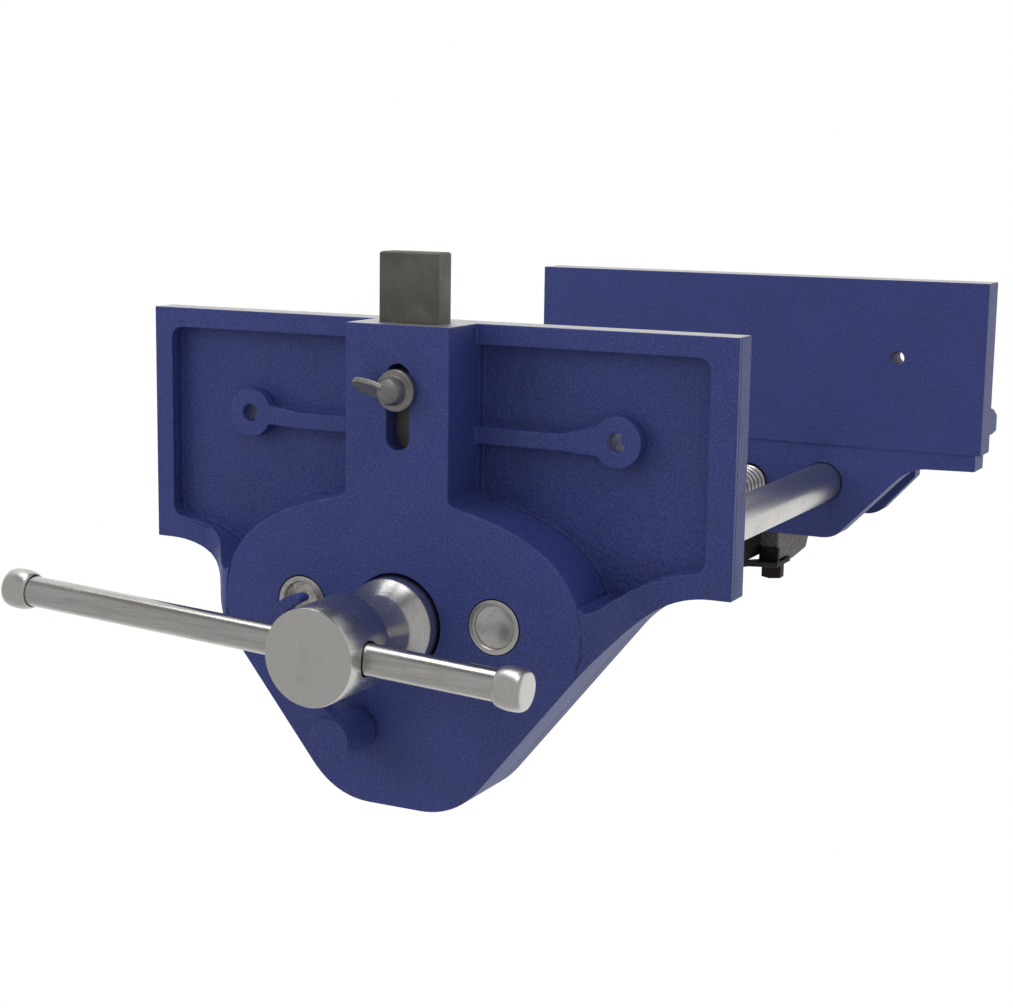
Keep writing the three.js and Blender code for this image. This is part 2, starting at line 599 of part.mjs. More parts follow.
function seatSlot(side) {
  const shape = new THREE.Shape();
  const reach = SLOT.length / 2 - SLOT.half;
  shape.absarc(side * SLOT.x + reach, SLOT.y, SLOT.half, -Math.PI / 2, Math.PI / 2, false);
  shape.absarc(side * SLOT.x - reach, SLOT.y, SLOT.half, Math.PI / 2, Math.PI * 1.5, false);
  return upright(shape, -JAW_TOP - SEAT_THICKNESS - 5, -JAW_TOP + 5);
}

// A triangular gusset under each end of the seat, against the back of the jaw.
function seatGusset(side) {
  const top = -JAW_TOP - SEAT_THICKNESS + 1;
  const { outer, inner, drop, length } = GUSSET;
  return slab(outline([[side * outer, top], [side * inner, top], [side * inner, top - drop]]),
    REAR_PLATE - 1, REAR_PLATE + length);
}

function barSupport(side) {
  const barrel = rodY(BARREL_RADIUS, REAR_PLATE - 1, REAR_WEB.front + 1, side * BAR_X, BAR_Z, 36);
  const rib = block(side * BAR_X - BAR_RIB_HALF, side * BAR_X + BAR_RIB_HALF,
    REAR_PLATE - 1, REAR_WEB.front + 1, BAR_Z, -JAW_TOP - SEAT_THICKNESS / 2);
  return join(barrel, rib);
}

function rearJawCasting() {
  const half = JAW_WIDTH / 2;
  const jaw = block(-half, half, 0, REAR_PLATE, -REAR_HEIGHT, 0);
  const seatRoot = block(-half + SEAT_CHAMFER, half - SEAT_CHAMFER, REAR_PLATE - 1, REAR_PLATE + 1,
    -JAW_TOP - SEAT_THICKNESS, -JAW_TOP);
  const bosses = [-1, 1].map((side) =>
    rodZ(GUIDE.boss, GUIDE.bossBottom, -JAW_TOP - SEAT_THICKNESS / 2, side * GUIDE.x, GUIDE.y));
  const body = join(jaw, benchSeat(), seatRoot, frontWeb(), rearWeb(), barSupport(-1), barSupport(1),
    seatGusset(-1), seatGusset(1), ...bosses);
  const tools = [rodY(SCREW_HOLE_RADIUS, -1, CASTING_END, 0, SCREW_Z)];
  for (const side of [-1, 1]) {
    tools.push(rodY(BAR_RADIUS + FIT, -1, CASTING_END, side * BAR_X, BAR_Z));
    tools.push(rodY(BOSS.hole, -1, REAR_PLATE + 1, side * BOSS.x, BOSS.z, 20));
    tools.push(rodZ(GUIDE.radius + FIT, GUIDE.bossBottom - 1, -JAW_TOP - SEAT_THICKNESS / 2 + FIT,
      side * GUIDE.x, GUIDE.y));
    tools.push(rodZ(FRONT_HOLE.radius, -JAW_TOP - SEAT_THICKNESS - 5, -JAW_TOP + 5,
      side * FRONT_HOLE.x, FRONT_HOLE.y));
    tools.push(seatSlot(side));
  }
  return cut(body, ...tools);
}

// ---- half nut and its follower ----
const NUT = { half: 22, front: 24, back: 92, top: -104.5, bottom: -122 };
const LEG = { left: -1, right: 8, front: 26, bottom: -147 };
const LEG_FOOT = [[44, LEG.bottom], [46, -149.8], [52.3, -149.8], [73, -147.7], [76.6, -142.6], [87, -140.2]];
const STRAP = {
  thickness: 2.5, left: -25, right: 15, lipFront: 2, lipBack: 7, back: 43,
  top: LEG.bottom - FIT,
  lipTop: RELEASE_Z - RELEASE_BAR.thickness / 2 - 0.4,
};
const STRAP_PLAN = [[-20, 1], [-4, 1], [9.5, 22], [9.5, 44], [-3, 44], [-3, 28], [-20, 9]];
const STRAP_FLANGE = { left: -0.9, right: 9.5, front: 23.2, top: -140 };
const STRAP_BOLT = { x: 3.5, y: 33, radius: 3, flats: 10.2, headHeight: 6.7, length: 13 };

function halfNut() {
  const body = block(-NUT.half, NUT.half, NUT.front, NUT.back, NUT.bottom, NUT.top);
  const legSide = outline([
    [LEG.front, NUT.bottom + 1], [LEG.front, LEG.bottom], ...LEG_FOOT, [NUT.back - 2, NUT.bottom + 1],
  ]);
  const { x, y, radius, length } = STRAP_BOLT;
  const tools = [
    rodY(SCREW_RADIUS + FIT, NUT.front - 1, NUT.back + 1, 0, SCREW_Z),
    rodZ(radius + FIT, LEG.bottom - 1, LEG.bottom + length + 1, x, y),
  ];
  for (const side of [-1, 1]) {
    tools.push(rodZ(GUIDE.radius + FIT, NUT.bottom - 1, NUT.top + 1, side * GUIDE.x, GUIDE.y));
  }
  return cut(join(body, profileX(legSide, LEG.left, LEG.right)), ...tools);
}

// A bent strap: flat under the leg, rising forwards to a lip under the release bar, with a flange in front.
function nutFollower() {
  const { thickness, top, lipTop, left, right, lipFront, lipBack, back } = STRAP;
  const upper = [[lipFront, lipTop], [lipBack, lipTop], [STRAP_FLANGE.front, top], [back, top]];
  const lower = upper.map(([y, z]) => [y, z - thickness]).reverse();
  const bent = profileX(outline([...upper, ...lower]), left, right);
  const planform = upright(outline(STRAP_PLAN), top - 2 * thickness, lipTop + 1);
  const flange = block(STRAP_FLANGE.left, STRAP_FLANGE.right, STRAP_FLANGE.front, LEG.front - FIT,
    top - thickness / 2, STRAP_FLANGE.top);
  const { x, y, radius } = STRAP_BOLT;
  return cut(join(bent.intersect(planform), flange), rodZ(radius + FIT, top - 2 * thickness, top + 1, x, y));
}

function followerBolt() {
  const seat = STRAP.top - STRAP.thickness - FIT;
  const { x, y, radius, flats, headHeight, length } = STRAP_BOLT;
  return join(hexHeadZ(flats, seat - headHeight, seat, x, y),
    rodZ(radius, seat - 1, LEG.bottom + length, x, y));
}

function guideBolt(side) {
  const { head, headHeight, headRadius, radius, x, y } = GUIDE;
  return join(rodZ(headRadius, head - headHeight, head, side * x, y),
    rodZ(radius, head - 1, -JAW_TOP - SEAT_THICKNESS / 2, side * x, y));
}

const NUT_COIL = { radius: 3.9, wire: 0.55, turns: 4 };

function nutSpring(side) {
  const { radius, wire, turns } = NUT_COIL;
  return coil(radius, wire, turns, GUIDE.head + FIT, NUT.bottom - FIT).translate(side * GUIDE.x, GUIDE.y, 0);
}

// ---- assembly ----
const vise = new THREE.Group();
const front = new THREE.Group();
const rear = new THREE.Group();
front.position.set(0, FRONT_Y, JAW_TOP);
rear.position.set(0, REAR_Y, JAW_TOP);
vise.add(front, rear);

piece(rear, 'rear_jaw_casting', rearJawCasting(), paint);
piece(rear, 'half_nut', halfNut(), castIron);
piece(rear, 'nut_follower', nutFollower(), blackSteel);
piece(rear, 'follower_bolt', followerBolt(), blackSteel);
piece(front, 'front_jaw_casting', frontJawCasting(), paint);
piece(front, 'tie_plate', tiePlate(), darkSteel);
piece(front, 'main_screw', mainScrew(), turned);
piece(front, 'screw_thrust_washer', thrustWasher(), turned);
piece(front, 'screw_collar', screwCollar(), darkSteel);
piece(front, 'screw_collar_pin', collarPin(), springSteel);
piece(front, 'handle_rod', handleRod(), turned);
piece(front, 'trigger_lever', triggerLever(), paint);
piece(front, 'trigger_pin', triggerPin(), springSteel);
piece(front, 'trigger_spring', triggerSpring(), springSteel);
piece(front, 'release_bar', releaseBar(), blackSteel);
piece(front, 'release_bar_circlip', circlip(), springSteel);
piece(front, 'dog_bar', dogBar(), darkSteel);
piece(front, 'dog_lock_screw', dogLockScrew(), darkSteel);
for (const [side, word] of [[-1, 'left'], [1, 'right']]) {
  piece(rear, `nut_guide_bolt_${word}`, guideBolt(side), darkSteel);
  piece(rear, `nut_spring_${word}`, nutSpring(side), springSteel);
  piece(front, `guide_bar_${word}`, guideBar(side), turned);
  piece(front, `bar_pin_${word}`, barPin(side), springSteel);
  piece(front, `tie_plate_bolt_${word}`, tieBolt(side), darkSteel);
  piece(front, `handle_knob_${word}`, handleKnob(side), turned);
}

export default vise;
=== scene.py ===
# Looks for the quick-release woodworking vise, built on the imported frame.
import json
import math

import bmesh
import bpy
from mathutils import Matrix, Vector


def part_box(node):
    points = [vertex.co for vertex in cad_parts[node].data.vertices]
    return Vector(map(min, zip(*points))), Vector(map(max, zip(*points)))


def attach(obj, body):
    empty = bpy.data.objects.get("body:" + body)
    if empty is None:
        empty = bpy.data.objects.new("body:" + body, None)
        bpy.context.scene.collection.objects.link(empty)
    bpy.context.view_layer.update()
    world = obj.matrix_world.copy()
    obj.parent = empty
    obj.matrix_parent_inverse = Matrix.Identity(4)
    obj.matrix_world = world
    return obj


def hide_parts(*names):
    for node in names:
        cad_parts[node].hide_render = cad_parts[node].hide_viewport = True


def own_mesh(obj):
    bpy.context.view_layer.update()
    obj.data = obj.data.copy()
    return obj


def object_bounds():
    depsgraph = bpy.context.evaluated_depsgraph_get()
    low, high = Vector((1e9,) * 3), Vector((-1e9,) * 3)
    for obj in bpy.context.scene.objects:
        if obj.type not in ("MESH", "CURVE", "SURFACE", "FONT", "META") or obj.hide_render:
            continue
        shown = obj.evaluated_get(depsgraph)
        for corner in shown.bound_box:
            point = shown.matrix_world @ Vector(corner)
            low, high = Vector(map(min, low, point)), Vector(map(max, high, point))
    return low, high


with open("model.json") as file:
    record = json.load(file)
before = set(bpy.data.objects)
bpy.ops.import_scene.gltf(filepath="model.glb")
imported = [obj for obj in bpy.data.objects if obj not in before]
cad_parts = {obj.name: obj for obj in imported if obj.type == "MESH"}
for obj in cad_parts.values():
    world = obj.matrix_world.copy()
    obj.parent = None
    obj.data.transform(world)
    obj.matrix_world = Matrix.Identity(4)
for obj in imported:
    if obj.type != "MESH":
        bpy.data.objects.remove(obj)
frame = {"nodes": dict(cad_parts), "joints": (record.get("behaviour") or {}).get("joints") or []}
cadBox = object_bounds()


def jointNamed(name):
    return next(joint for joint in frame["joints"] if joint["name"] == name)


# Camera, floor and lights. Angles are in degrees, lengths in metres.
cameraSetup = {
    "place": (0.3338, -1.0077, 0.1187),
    "azimuth": 27.85,
    "elevation": 9.88,
    "roll": 0.62,
    "lens": 71.37,
    "shiftX": 0.05,
}

studio = {
    "floorDrop": 0.16,
    "floorSize": 30.0,
    "paperWhite": 1.0,
    "backLevel": 0.95,
    "frontLevel": 0.47,
    "topLevel": 0.16,
    "backFade": (-0.25, 0.75),
    "topFade": (0.72, 0.9),
}

softboxes = {
    "overhead": {"place": (-0.2, -0.5, 1.5), "aim": (0.0, -0.25, 0.0), "size": (1.8, 0.5),
                 "watts": 10.0, "shines": True},
    "leftFront": {"place": (-1.25, -1.5, 0.75), "aim": (0.0, -0.35, 0.0), "size": (1.0, 1.2),
                  "watts": 8.5, "shines": False},
}


def makeCamera(setup):
    a, e, r = (math.radians(setup[key]) for key in ("azimuth", "elevation", "roll"))
    back = Vector((math.sin(a) * math.cos(e), -math.cos(a) * math.cos(e), math.sin(e)))
    right = Vector((math.cos(a), math.sin(a), 0))
    up = back.cross(right)
    turnedRight = right * math.cos(r) + up * math.sin(r)
    turnedUp = up * math.cos(r) - right * math.sin(r)
    camera = bpy.data.objects.new("camera", bpy.data.cameras.new("camera"))
    bpy.context.scene.collection.objects.link(camera)
    camera.data.sensor_width = 36
    camera.data.lens = setup["lens"]
    camera.data.shift_x = setup["shiftX"]
    camera.data.clip_end = 100
    turn = Matrix((turnedRight, turnedUp, back)).transposed().to_4x4()
    camera.matrix_world = Matrix.Translation(setup["place"]) @ turn
    bpy.context.scene.camera = camera


def emitting(tree, strength):
    light = tree.nodes.new("ShaderNodeEmission")
    light.inputs["Strength"].default_value = strength
    return light.outputs[0]


# Seamless white paper: it shows plain white, and leaves the lighting to the sky and the lamps.
def makeFloor(setup):
    bm = bmesh.new()
    bmesh.ops.create_grid(bm, x_segments=1, y_segments=1, size=setup["floorSize"])
    bmesh.ops.translate(bm, vec=(0, 0, cadBox[0][2] - setup["floorDrop"]), verts=bm.verts)
    mesh = bpy.data.meshes.new("floor")
    bm.to_mesh(mesh)
    bm.free()
    floor = bpy.data.objects.new("floor", mesh)
    bpy.context.scene.collection.objects.link(floor)
    paper = bpy.data.materials.new("palePaper")
    paper.use_nodes = True
    tree = paper.node_tree
    tree.nodes.clear()
    output = tree.nodes.new("ShaderNodeOutputMaterial")
    tree.links.new(emitting(tree, setup["paperWhite"]), output.inputs[0])
    mesh.materials.append(paper)
    floor.visible_diffuse = floor.visible_glossy = floor.visible_shadow = False


# Bright behind the bench side, dimmer on the user's side, and a dark ceiling. The camera sees white.
def makeSky(setup):
    world = bpy.data.worlds.new("studio")
    bpy.context.scene.world = world
    world.use_nodes = True
    tree = world.node_tree
    tree.nodes.clear()
    direction = tree.nodes.new("ShaderNodeTexCoord")
    split = tree.nodes.new("ShaderNodeSeparateXYZ")
    tree.links.new(direction.outputs["Generated"], split.inputs[0])
    levels = []
    for axis, fade, first, last in (("Y", setup["backFade"], setup["frontLevel"], setup["backLevel"]),
                                    ("Z", setup["topFade"], 1.0, setup["topLevel"])):
        ramp = tree.nodes.new("ShaderNodeMapRange")
        ramp.interpolation_type = "SMOOTHSTEP"
        for socket, value in zip(ramp.inputs[1:5], (*fade, first, last)):
            socket.default_value = value
        tree.links.new(split.outputs[axis], ramp.inputs["Value"])
        levels.append(ramp.outputs[0])
    total = tree.nodes.new("ShaderNodeMath")
    total.operation = "MULTIPLY"
    for socket, level in zip(total.inputs, levels):
        tree.links.new(level, socket)
    lighting = tree.nodes.new("ShaderNodeBackground")
    lighting.inputs["Color"].default_value = (1, 1, 1, 1)
    tree.links.new(total.outputs[0], lighting.inputs["Strength"])
    seen = tree.nodes.new("ShaderNodeBackground")
    seen.inputs["Color"].default_value = (1, 1, 1, 1)
    seen.inputs["Strength"].default_value = setup["paperWhite"]
    path = tree.nodes.new("ShaderNodeLightPath")
    mix = tree.nodes.new("ShaderNodeMixShader")
    tree.links.new(path.outputs["Is Camera Ray"], mix.inputs[0])
    tree.links.new(lighting.outputs[0], mix.inputs[1])
    tree.links.new(seen.outputs[0], mix.inputs[2])
    output = tree.nodes.new("ShaderNodeOutputWorld")
    tree.links.new(mix.outputs[0], output.inputs[0])


def makeSoftbox(name, setup):
    light = bpy.data.lights.new(name, "AREA")
    light.shape = "RECTANGLE"
    light.size, light.size_y = setup["size"]
    light.energy = setup["watts"]
    lamp = bpy.data.objects.new(name, light)
    bpy.context.scene.collection.objects.link(lamp)
    lamp.location = setup["place"]
    towards = Vector(setup["aim"]) - Vector(setup["place"])
    lamp.rotation_euler = towards.to_track_quat("-Z", "Y").to_euler()
    lamp.visible_camera = False
    lamp.visible_glossy = setup["shines"]


makeCamera(cameraSetup)
makeFloor(studio)
makeSky(studio)
for softboxName, softboxSetup in softboxes.items():
    makeSoftbox(softboxName, softboxSetup)
bpy.context.scene.view_settings.view_transform = "Standard"
print("stage: camera, floor and lights are up")


# One value in a material's node tree, which can be added, multiplied and so on.
class Wire:
    def __init__(self, board, socket):
        self.board = board
        self.socket = socket

    def maths(self, operation, *others, clamp=False):
        node = self.board.tree.nodes.new("ShaderNodeMath")
        node.operation = operation
        node.use_clamp = clamp
        for place, value in zip(node.inputs, (self, *others)):
            self.board.feed(place, value)
        return Wire(self.board, node.outputs[0])

    def __add__(self, other):
        return self.maths("ADD", other)

    def __radd__(self, other):
        return self.maths("ADD", other)

    def __sub__(self, other):
        return self.maths("SUBTRACT", other)

    def __rsub__(self, other):
        node = self.board.tree.nodes.new("ShaderNodeMath")
        node.operation = "SUBTRACT"
        self.board.feed(node.inputs[0], other)
        self.board.feed(node.inputs[1], self)
        return Wire(self.board, node.outputs[0])

    def __mul__(self, other):
        return self.maths("MULTIPLY", other)

    def __abs__(self):
        return self.maths("ABSOLUTE")

    def clamped(self):
        return self.maths("ADD", 0, clamp=True)

    def ramp(self, low, high):
        node = self.board.tree.nodes.new("ShaderNodeMapRange")
        node.interpolation_type = "SMOOTHSTEP"
        self.board.feed(node.inputs["Value"], self)
        node.inputs["From Min"].default_value = low
        node.inputs["From Max"].default_value = high
        return Wire(self.board, node.outputs[0])


# A material with the tools that build its node tree.
class Board:
    def __init__(self, name):
        self.material = bpy.data.materials.new(name)
        self.material.use_nodes = True
        self.tree = self.material.node_tree
        self.shader = self.tree.nodes["Principled BSDF"]
        self.places = Wire(self, self.tree.nodes.new("ShaderNodeTexCoord").outputs["Object"])

    def feed(self, place, value):
        if isinstance(value, Wire):
            self.tree.links.new(value.socket, place)
        else:
            place.default_value = value

    def node(self, kind, settings=None, output=0, **values):
        node = self.tree.nodes.new(kind)
        for key, value in (settings or {}).items():
            setattr(node, key, value)
        for key, value in values.items():
            self.feed(node.inputs[key.replace("_", " ")], value)
        return Wire(self, node.outputs[output])

    def placed(self, scale=(1, 1, 1), location=(0, 0, 0)):
        return self.node("ShaderNodeMapping", Vector=self.places, Scale=scale, Location=location)

    def noise(self, scale, detail, roughness, where=None):
        return self.node("ShaderNodeTexNoise", Vector=where or self.places, Scale=scale, Detail=detail,
                         Roughness=roughness)

    def axis(self, letter, where=None):
        split = self.tree.nodes.new("ShaderNodeSeparateXYZ")
        self.feed(split.inputs[0], where or self.places)
        return Wire(self, split.outputs[letter])

    def facing(self, letter):
        return self.axis(letter, self.node("ShaderNodeTexCoord", output="Normal"))

    def mix(self, factor, first, second):
        node = self.tree.nodes.new("ShaderNodeMix")
        node.data_type = "RGBA"
        self.feed(node.inputs[0], factor)
        self.feed(node.inputs[6], first if isinstance(first, Wire) else (*first, 1))
        self.feed(node.inputs[7], second if isinstance(second, Wire) else (*second, 1))
        return Wire(self, node.outputs[2])

    # The surface's direction, with its corners rounded off to this radius.
    def rounded(self, radius):
        return self.node("ShaderNodeBevel", {"samples": 4}, Radius=radius)

    # 0 on the flat, rising to 1 at a sharp corner.
    def edges(self, radius):
        geometry = self.tree.nodes.new("ShaderNodeNewGeometry")
        dot = self.tree.nodes.new("ShaderNodeVectorMath")
        dot.operation = "DOT_PRODUCT"
        self.feed(dot.inputs[0], self.rounded(radius))
        self.tree.links.new(geometry.outputs["Normal"], dot.inputs[1])
        return (1 - Wire(self, dot.outputs["Value"])).ramp(0.02, 0.22)

    def bump(self, height, distance, strength, normal=None):
        node = self.tree.nodes.new("ShaderNodeBump")
        node.inputs["Strength"].default_value = strength
        node.inputs["Distance"].default_value = distance
        self.feed(node.inputs["Height"], height)
        if normal:
            self.feed(node.inputs["Normal"], normal)
        return Wire(self, node.outputs[0])

    def finish(self, **values):
        for key, value in values.items():
            self.feed(self.shader.inputs[key.replace("_", " ")], value)
        return self.material


# Finishes. Colours are linear values, and lengths are in metres.
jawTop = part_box("front_jaw_casting")[1][2]
rimPlane = jointNamed("screw_turn")["pos_m"][1]
screwZ = jointNamed("screw_turn")["pos_m"][2]

enamel = {
    "blue": (0.031, 0.048, 0.235),
    "deep": (0.026, 0.038, 0.195),
    "rubbed": (0.16, 0.20, 0.42),
    "grime": (0.050, 0.041, 0.064),
    "milled": (0.62, 0.61, 0.60),
    "cutterMarks": (0.42, 0.41, 0.41),
    "grain": 620.0,
    "relief": 0.0011,
    "wornEdge": 0.0006,
    "softEdge": 0.0005,
    "pocketDepth": 0.0022,
    "pocketFade": 0.0005,
    "milledBand": (0.0008, 0.0003),   # below the jaw tops
}


# Blue enamel over sand-cast iron. Behind pocketY it is rough, and above milledTop the iron is bare.
def enamelPaint(name, pocketY=None, milledTop=None):
    b = Board(name)
    orangePeel = b.noise(enamel["grain"], 4.0, 0.68)
    lumps = b.noise(190.0, 3.0, 0.5)
    clouds = b.noise(34.0, 5.0, 0.65)
    fine = b.noise(2400.0, 2.0, 0.5)
    rough = 1.0
    if pocketY is not None:
        fade = enamel["pocketFade"]
        rough = b.axis("Y").ramp(pocketY - fade, pocketY + fade) * 0.75 + 0.25
    worn = b.edges(enamel["wornEdge"]) * b.noise(330.0, 4.0, 0.7).ramp(0.42, 0.62)
    speckle = b.noise(1500.0, 3.0, 0.7).ramp(0.42, 0.68)
    flecks = b.noise(900.0, 2.0, 0.6, where=b.placed((1, 1, 0.45))).ramp(0.735, 0.79)
    smear = b.noise(62.0, 5.0, 0.68, where=b.placed((1.0, 1.0, 0.6))).ramp(0.56, 0.78)
    colour = b.mix(clouds.ramp(0.3, 0.72) * 0.8, enamel["blue"], enamel["deep"])
    colour = b.mix(smear * 0.42, colour, enamel["grime"])
    colour = b.mix(speckle * 0.26, colour, enamel["rubbed"])
    colour = b.mix((worn * 0.75 + flecks * 0.35).clamped(), colour, enamel["rubbed"])
    roughness = 0.40 + orangePeel * 0.18 + smear * 0.12
    metal = 0.0
    if milledTop is not None:
        low, high = (milledTop - drop for drop in enamel["milledBand"])
        top = b.facing("Z").ramp(0.9, 0.97) * b.axis("Z").ramp(low, high)
        cutter = b.noise(240.0, 3.0, 0.6, where=b.placed((0.35, 6.0, 1.0)))
        iron = b.mix(cutter.ramp(0.35, 0.7), enamel["milled"], enamel["cutterMarks"])
        colour = b.mix(top, colour, iron)
        roughness = roughness - top * 0.12
        metal = top * 0.9
    relief = (orangePeel * 0.7 + lumps * 0.45) * rough + fine * 0.08
    return b.finish(Base_Color=colour, Roughness=roughness, Metallic=metal, Specular_IOR_Level=0.5,
                    Normal=b.bump(relief, enamel["relief"], 0.7, b.rounded(enamel["softEdge"])))


turnedSteel = {
    "bright": (0.66, 0.645, 0.62),
    "shade": (0.40, 0.385, 0.365),
    "rust": (0.13, 0.055, 0.018),
    "ringPitch": 0.0003,
    "relief": 0.00003,
    "dishEdge": (0.0066, 0.0080),   # rust is thickest inside this radius
}


# Bright turned steel. Along is the axis the piece was turned about; lengthwise marks run with it.
def turnedMetal(name, centre, along, rusty=0.0, roughness=0.22, lengthwise=False):
    b = Board(name)
    ringScale = 1 / turnedSteel["ringPitch"]
    at = b.placed(location=[-c for c in centre])
    across, ahead = (1.0, 0.04) if lengthwise else (0.04, 1.0)
    squash = [ahead if letter == along else across for letter in "XYZ"]
    flat = b.node("ShaderNodeMapping", Vector=at, Scale=[0 if letter == along else 1 for letter in "XYZ"])
    radius = b.node("ShaderNodeVectorMath", {"operation": "LENGTH"}, "Value", Vector=flat)
    rings = b.noise(ringScale, 3.0, 0.65, where=b.node("ShaderNodeCombineXYZ", X=radius))
    bands = b.noise(ringScale, 3.0, 0.65, where=b.placed(squash))
    face = abs(b.facing(along)).ramp(0.8, 0.95)
    marks = rings * face + bands * (1 - face)
    stains = b.noise(75.0, 5.0, 0.7).ramp(0.5, 0.78)
    scuffs = b.noise(420.0, 4.0, 0.7, where=b.placed((1.0, 0.3, 1.0))).ramp(0.6, 0.78)
    colour = b.mix(marks.ramp(0.3, 0.75) * 0.3 + stains * 0.3, turnedSteel["bright"], turnedSteel["shade"])
    if rusty:
        spots = b.noise(210.0, 5.0, 0.75).ramp(0.60 - 0.22 * rusty, 0.70)
        dish = 1 - radius.ramp(*turnedSteel["dishEdge"])
        colour = b.mix((spots * rusty * (dish * 0.75 + 0.25)).clamped(), colour, turnedSteel["rust"])
    value = roughness + marks * 0.10 + stains * 0.10 + scuffs * 0.12
    return b.finish(Base_Color=colour, Metallic=1.0, Roughness=value,
                    Normal=b.bump(marks + scuffs * 0.15, turnedSteel["relief"], 0.4))


# Drawn steel with marks along its length. Stretch is small along the axis that the marks follow.
def drawnMetal(name, stretch, roughness, grime):
    b = Board(name)
    bright, shade = turnedSteel["bright"], turnedSteel["shade"]
    streaks = b.noise(1500.0, 4.0, 0.65, where=b.placed(stretch))
    wide = b.noise(330.0, 4.0, 0.6, where=b.placed(stretch))
    blotches = b.noise(48.0, 5.0, 0.65).ramp(0.45, 0.75)
    specks = b.noise(1300.0, 3.0, 0.6).ramp(0.66, 0.74)
    colour = b.mix((streaks.ramp(0.3, 0.75) * 0.45 + wide.ramp(0.35, 0.7) * 0.35).clamped(), bright, shade)
    colour = b.mix(blotches * grime, colour, [c * 0.45 for c in shade])
    colour = b.mix(specks * 0.3, colour, [c * 0.6 for c in shade])
    value = roughness + streaks * 0.12 + blotches * 0.14
    return b.finish(Base_Color=colour, Metallic=1.0, Roughness=value,
                    Normal=b.bump(streaks * 0.6 + wide * 0.4, 0.00005, 0.5))


dullSteels = {
    "dogSteel": {"dark": (0.17, 0.163, 0.15), "light": (0.25, 0.238, 0.218),
                 "wornTo": (0.5, 0.48, 0.45), "roughness": 0.55},
    "lockSteel": {"dark": (0.22, 0.215, 0.21), "light": (0.36, 0.35, 0.34),
                  "wornTo": (0.7, 0.69, 0.67), "roughness": 0.34},
    "plateSteel": {"dark": (0.16, 0.155, 0.15), "light": (0.28, 0.27, 0.26),
                   "wornTo": (0.6, 0.58, 0.55), "roughness": 0.38},
    "blackSteel": {"dark": (0.018, 0.015, 0.013), "light": (0.05, 0.043, 0.038),
                   "wornTo": (0.25, 0.23, 0.2), "wear": 0.5},
    "springSteel": {"dark": (0.2, 0.2, 0.21), "light": (0.33, 0.33, 0.34),
                    "wornTo": (0.6, 0.6, 0.6), "roughness": 0.3},
}


# Dull black or grey steel that shows bright at its corners.
def dullSteel(name, dark, light, wornTo, wear=0.8, roughness=0.5):
    b = Board(name)
    mottle = b.noise(95.0, 6.0, 0.65)
    pits = b.noise(1500.0, 3.0, 0.6)
    brush = b.noise(700.0, 3.0, 0.6, where=b.placed((1.0, 1.0, 0.12)))
    worn = b.edges(0.0009) * b.noise(260.0, 4.0, 0.7).ramp(0.3, 0.6)
    colour = b.mix(mottle.ramp(0.3, 0.72), dark, light)
    colour = b.mix(pits.ramp(0.6, 0.75) * 0.35, colour, [c * 0.4 for c in dark])
    colour = b.mix(worn * wear, colour, wornTo)
    value = roughness + mottle * 0.2 - worn * 0.2 + brush * 0.06
    relief = pits * 0.5 + mottle * 0.3 + brush * 0.2
    return b.finish(Base_Color=colour, Metallic=0.9, Roughness=value,
                    Normal=b.bump(relief, 0.00022, 0.6, b.rounded(0.0005)))


bareIron = {
    "dark": (0.10, 0.095, 0.088),
    "light": (0.23, 0.22, 0.205),
    "stain": (0.075, 0.062, 0.052),
    "grain": 420.0,
    "relief": 0.0006,
    "softEdge": 0.0008,
}


# Unpainted casting with a flaky skin.
def rawCasting(name):
    b = Board(name)
    skin = b.noise(bareIron["grain"], 6.0, 0.7)
    squat = b.placed((1.0, 1.0, 0.4))
    flakes = b.node("ShaderNodeTexVoronoi", {"feature": "F1"}, Vector=squat, Scale=260.0)
    clouds = b.noise(60.0, 4.0, 0.6)
    colour = b.mix(skin.ramp(0.3, 0.7), bareIron["dark"], bareIron["light"])
    colour = b.mix(clouds.ramp(0.5, 0.75) * 0.5, colour, bareIron["stain"])
    relief = b.bump(skin * 0.6 + flakes * 0.4, bareIron["relief"], 0.6, b.rounded(bareIron["softEdge"]))
    return b.finish(Base_Color=colour, Metallic=0.55, Roughness=0.5 + skin * 0.25, Normal=relief)


frontPaint = enamelPaint("frontEnamel", rimPlane + enamel["pocketDepth"], jawTop)
rearPaint = enamelPaint("rearEnamel", None, jawTop)
leverPaint = enamelPaint("leverEnamel")
steels = {name: dullSteel(name, **values) for name, values in dullSteels.items()}
nutSkin = rawCasting("nutCasting")
print("stage: finishes are mixed")


# Shaping tools. Angles are in degrees, and lengths are in metres.
shaping = {
    "smoothAngle": 32.0,
    "sharpFrom": 28.0,
    "flatWithin": 1.0,
    "mergeWithin": 0.00002,
    "easeSteps": 2,
}


def objectFrom(bm, name, material, body, smoothAngle=shaping["smoothAngle"]):
    mesh = bpy.data.meshes.new(name)
    bm.to_mesh(mesh)
    bm.free()
    mesh.polygons.foreach_set("use_smooth", [True] * len(mesh.polygons))
    mesh.set_sharp_from_angle(angle=math.radians(smoothAngle))
    mesh.materials.append(material)
    obj = bpy.data.objects.new(name, mesh)
    bpy.context.scene.collection.objects.link(obj)
    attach(obj, body)
    return obj


